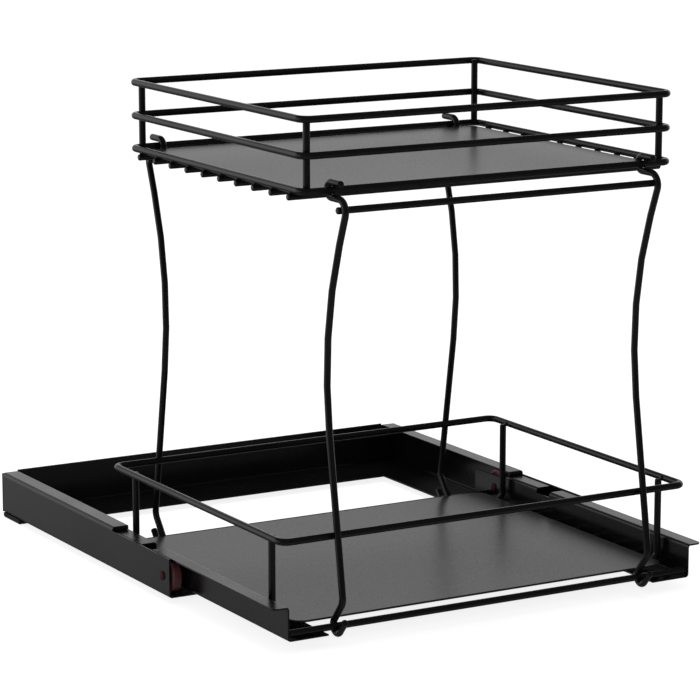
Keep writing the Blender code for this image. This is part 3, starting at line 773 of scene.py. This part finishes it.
rivetShape = {
    "shank": 2.5 * mm,
    "head": 3.4 * mm,
    "headHeight": 1.4 * mm,
    "domeSteps": 6,
    "collar": (1.8 * mm, 2.5 * mm),    # from and to, in from the domed head
    "flatHead": (0.5 * mm, 0.8),       # the other head's chamfer, and the share of its radius left flat
    "steps": 40,
}


def makeRivet(node, side, body, shape):
    # a domed head outside the web, a collar between web and roller, the shank and its headed end
    low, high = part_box(node)
    centre = (low + high) / 2
    collarRadius = (high.z - low.z) / 2
    outer, inner = high.x - centre.x, low.x - centre.x
    shank, head, domeSteps = shape["shank"], shape["head"], shape["domeSteps"]
    angles = [math.pi / 2 * i / domeSteps for i in range(domeSteps + 1)]
    dome = [(outer - shape["headHeight"] * (1 - math.cos(angle)), head * math.sin(angle)) for angle in angles]
    domeFoot, flatFoot = outer - shape["headHeight"], inner + shape["headHeight"]
    collar = [domeFoot - place for place in shape["collar"]]
    chamfer, flat = shape["flatHead"]
    profile = dome + [(domeFoot, shank), (collar[0], shank), (collar[0], collarRadius),
                      (collar[1], collarRadius), (collar[1], shank), (flatFoot, shank), (flatFoot, head),
                      (inner + chamfer, head), (inner, flat * head), (inner, 0)]
    bm = turnPiece([(along * side, r) for along, r in profile], False, centre, shape["steps"])
    finishPiece(bm, camelName(node), "rivet_coat", body, [node])


footShape = {
    "edge": 0.7 * mm,
    "edgeSegments": 2,
    "edgeFrom": math.radians(50),      # edges sharper than this are rounded
    "sole": 1.4 * mm,
    "soleSegments": 3,
}


def makeFoot(node, shape):
    low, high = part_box(node)
    high.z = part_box("left_channel")[0].z      # stuck to the channel's underside
    bm = bmesh.new()
    bmesh.ops.create_cube(bm, size=1.0)
    bmesh.ops.scale(bm, vec=high - low, verts=bm.verts)
    bmesh.ops.translate(bm, vec=(low + high) / 2, verts=bm.verts)
    sole = [e for e in bm.edges if all(v.co.z < low.z + shape["edge"] for v in e.verts)]
    bmesh.ops.bevel(bm, geom=sole, affect="EDGES", offset=shape["sole"], segments=shape["soleSegments"],
                    profile=0.5, material=-1)
    rest = [e for e in bm.edges if e.calc_face_angle(0) > shape["edgeFrom"]]
    bmesh.ops.bevel(bm, geom=rest, affect="EDGES", offset=shape["edge"], segments=shape["edgeSegments"],
                    profile=0.5, material=-1)
    finishPiece(bm, camelName(node), "foot_rubber", "base", [node])


for sideName, side in sides.items():
    makeRoller(f"front_roller_{sideName}", rollerShape)
    makeRoller(f"rear_roller_{sideName}", rollerShape)
    makeRivet(f"front_axle_{sideName}", side, "base", rivetShape)
    makeRivet(f"rear_axle_{sideName}", -side, "tray", rivetShape)
    for end in ends:
        makeFoot(f"{end}_{sideName}_foot", footShape)
print("rollers, rivets and feet made:", 3 * len(ends) * len(sides))


# Welds

weldShape = {"spread": 1.9 * mm, "height": 1.0 * mm, "segments": 16, "rings": 8}
weldPlace = {
    "cornerAngle": math.radians(40),   # at which a post touches the round of a rim's corner
    "cornerIn": 0.2 * mm,      # how far a bead there lies inside the post's skin
    "crossbarOut": 2.6 * mm,   # from the crossbar's middle to its joint with the leg
    "postOut": 0.15 * mm,      # from a lower post's skin to its joint with the rim
}


def weldBeads(name, places, shape):
    # a resistance weld leaves a low squeezed bead where two wires cross; each place comes with the
    # direction through the joint
    bm = bmesh.new()
    size = Matrix.Diagonal((shape["spread"], shape["spread"], shape["height"], 1))
    for place, through in places:
        facing = Vector(through).to_track_quat("Z", "Y").to_matrix().to_4x4()
        bmesh.ops.create_uvsphere(bm, u_segments=shape["segments"], v_segments=shape["rings"], radius=1,
                                  matrix=Matrix.Translation(place) @ facing @ size)
    finishPiece(bm, name, "black_powder_coat", "tray")


basketWelds = []
for node in (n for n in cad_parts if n.startswith("upper_cross_wire")):
    jointZ = (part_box(node)[1].z + basketLow.z) / 2
    for side in sides.values():
        x = side * (basketHigh.x - basketWire)
        basketWelds.append(((x, middleOf(node).y, jointZ), (0, 0, 1)))
for endName, end in ends.items():
    for sideName, side in sides.items():
        post = middleOf(f"upper_post_{endName}_{sideName}")
        angle = weldPlace["cornerAngle"]
        outward = Vector((side * math.cos(angle), end * math.sin(angle), 0))
        for rim in ("upper_bottom_rim", "upper_middle_rim", "upper_top_rim"):
            joint = Vector((post.x, post.y, middleOf(rim).z)) + outward * (basketWire - weldPlace["cornerIn"])
            basketWelds.append((joint, outward))
weldBeads("basketWelds", basketWelds, weldShape)

frameWelds = []
for endName, end in ends.items():
    for sideName, side in sides.items():
        legX = middleOf(f"{endName}_{sideName}_leg").x
        bar = f"{endName}_leg_crossbar"
        barSide = trayY + end * (abs(middleOf(bar).y - trayY) + weldPlace["crossbarOut"])
        frameWelds.append(((legX, barSide, middleOf(bar).z + crossbarLift), (0, 1, 0)))
        postLow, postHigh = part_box(f"lower_{endName}_post_wire")
        postSide = side * (postHigh.x + weldPlace["postOut"])
        frameWelds.append(((postSide, (postLow.y + postHigh.y) / 2, middleOf("lower_rim").z), (1, 0, 0)))
weldBeads("frameWelds", frameWelds, weldShape)
print("welds made:", len(basketWelds) + len(frameWelds))

# flat faces keep their own normal beside a small round, so that broad reflections stay even
for piece in dressed:
    even = piece.modifiers.new("evenNormals", "WEIGHTED_NORMAL")
    even.keep_sharp = True
print("pieces finished:", len(dressed))


# Stage, light and camera

stageLook = {
    "floorSize": 14,
    "floorDrop": 0.2 * mm,     # just below the feet
    "floorColour": "#e9e9e9",
    "floorLift": 0.86,         # glow that the camera sees, so that the floor shows white
    "shadow": 0.30,            # share of the lit floor under that glow, which holds the object's shadow
    "diffuse": 0.70,           # what the sky gives to dull surfaces
}

glossLook = {
    "behind": 0.78,            # backdrop, low behind the object
    "dim": 0.05,               # the rest of the studio
    "depth": (-0.30, 0.40),    # the backdrop fades in over this much of the way from front to rear
    "height": (0.34, 0.56),    # and out again upwards
    "table": 0.15,             # what the object stands on
    "horizon": (-0.33, -0.08),         # the heights between which it gives way to the studio
}


def makeFloor(look):
    # dull rays meet a matt floor, the camera sees a glow that keeps the object's shadow, and gloss and
    # glass look through it to the studio
    bpy.ops.mesh.primitive_plane_add(size=look["floorSize"], location=(0, 0, -look["floorDrop"]))
    floor = bpy.context.object
    floor.name = "floor"
    material = bpy.data.materials.new("paleFloor")
    material.use_nodes = True
    tree = material.node_tree
    tree.nodes.clear()
    path = addNode(tree, "ShaderNodeLightPath", {})
    matt = addNode(tree, "ShaderNodeBsdfDiffuse", {"Color": hexToLinear(look["floorColour"])})
    glow = addNode(tree, "ShaderNodeEmission", {"Strength": look["floorLift"]})
    clear = addNode(tree, "ShaderNodeBsdfTransparent", {})
    nothing = addNode(tree, "ShaderNodeEmission", {"Strength": 0.0})
    held = addNode(tree, "ShaderNodeMixShader", {0: look["shadow"], 1: nothing.outputs[0],
                                                 2: matt.outputs[0]})
    shown = addNode(tree, "ShaderNodeAddShader", {0: held.outputs[0], 1: glow.outputs[0]})
    toCamera = addNode(tree, "ShaderNodeMixShader", {0: path.outputs["Is Camera Ray"], 1: matt.outputs[0],
                                                     2: shown.outputs[0]})
    mirrored = addNode(tree, "ShaderNodeMath", {0: path.outputs["Is Glossy Ray"],
                                                1: path.outputs["Is Transmission Ray"]}, operation="MAXIMUM")
    surface = addNode(tree, "ShaderNodeMixShader", {0: mirrored.outputs[0], 1: toCamera.outputs[0],
                                                    2: clear.outputs[0]})
    addNode(tree, "ShaderNodeOutputMaterial", {"Surface": surface.outputs[0]})
    floor.data.materials.append(material)


def makeWorld(look, gloss):
    # white to the camera, even to dull surfaces, and to gloss a bright backdrop in a dim studio
    world = bpy.data.worlds.new("studio")
    bpy.context.scene.world = world
    world.use_nodes = True
    tree = world.node_tree
    tree.nodes.clear()
    path = addNode(tree, "ShaderNodeLightPath", {})
    way = addNode(tree, "ShaderNodeTexCoord", {}).outputs["Generated"]
    parts = addNode(tree, "ShaderNodeSeparateXYZ", {"Vector": way})

    # each fade: along which axis, over what span, and from what to what
    spans = {"depth": ("Y", gloss["depth"], 0.0, gloss["behind"] - gloss["dim"]),
             "height": ("Z", gloss["height"], 1.0, 0.0),
             "horizon": ("Z", gloss["horizon"], 0.0, 1.0)}
    fades = {}
    for name, (axis, span, start, stop) in spans.items():
        fades[name] = addNode(tree, "ShaderNodeMapRange", {"Value": parts.outputs[axis],
                                                           "From Min": span[0], "From Max": span[1],
                                                           "To Min": start, "To Max": stop},
                              interpolation_type="SMOOTHSTEP").outputs["Result"]
    backdrop = addNode(tree, "ShaderNodeMath", {0: fades["depth"], 1: fades["height"]}, operation="MULTIPLY")
    studio = addNode(tree, "ShaderNodeMath", {0: backdrop.outputs[0], 1: gloss["dim"]}, operation="ADD")
    mirrored = addNode(tree, "ShaderNodeMix", {0: fades["horizon"], 2: gloss["table"],
                                               3: studio.outputs[0]}, data_type="FLOAT")
    dull = addNode(tree, "ShaderNodeMix", {0: path.outputs["Is Diffuse Ray"], 2: mirrored.outputs[0],
                                           3: look["diffuse"]}, data_type="FLOAT")
    strength = addNode(tree, "ShaderNodeMix", {0: path.outputs["Is Camera Ray"], 2: dull.outputs[0], 3: 1.0},
                       data_type="FLOAT")
    sky = addNode(tree, "ShaderNodeBackground", {"Color": (1, 1, 1, 1), "Strength": strength.outputs[0]})
    addNode(tree, "ShaderNodeOutputWorld", {"Surface": sky.outputs[0]})


softBoxes = {
    "overhead": {"at": (0.1, 0.5, 2.2), "aim": (0, 0, 0.1), "size": 2.2, "power": 30},
    "leftFill": {"at": (-2.3, 0.4, 0.9), "aim": (0, 0, 0.15), "size": 1.4, "power": 8},
}


def makeSoftBox(name, box):
    # soft light for the dull surfaces; the gloss sees the backdrop and not the lamps
    lamp = bpy.data.lights.new(name, "AREA")
    lamp.size = box["size"]
    lamp.energy = box["power"]
    light = bpy.data.objects.new(name, lamp)
    light.location = box["at"]
    light.rotation_euler = (Vector(box["aim"]) - Vector(box["at"])).to_track_quat("-Z", "Y").to_euler()
    light.visible_glossy = False
    bpy.context.scene.collection.objects.link(light)


cameraPlace = {
    "at": (-1.1604, -2.0206, 0.6215),
    "down": math.radians(11.317),
    "turned": math.radians(30.005),
    "lens": 163.68,            # in mm, as the sensor
    "sensor": 36.0,
    "sight": 50.0,             # metres
}


def makeCamera(place):
    lens = bpy.data.cameras.new("camera")
    lens.lens = place["lens"]
    lens.sensor_width = place["sensor"]
    lens.clip_end = place["sight"]
    camera = bpy.data.objects.new("camera", lens)
    camera.location = place["at"]
    camera.rotation_euler = (math.pi / 2 - place["down"], 0, -place["turned"])
    bpy.context.scene.collection.objects.link(camera)
    bpy.context.scene.camera = camera


makeFloor(stageLook)
makeWorld(stageLook, glossLook)
for name, box in softBoxes.items():
    makeSoftBox(name, box)
makeCamera(cameraPlace)
bpy.context.scene.view_settings.view_transform = "Standard"
print("stage, light and camera made")

bpy.context.view_layer.update()
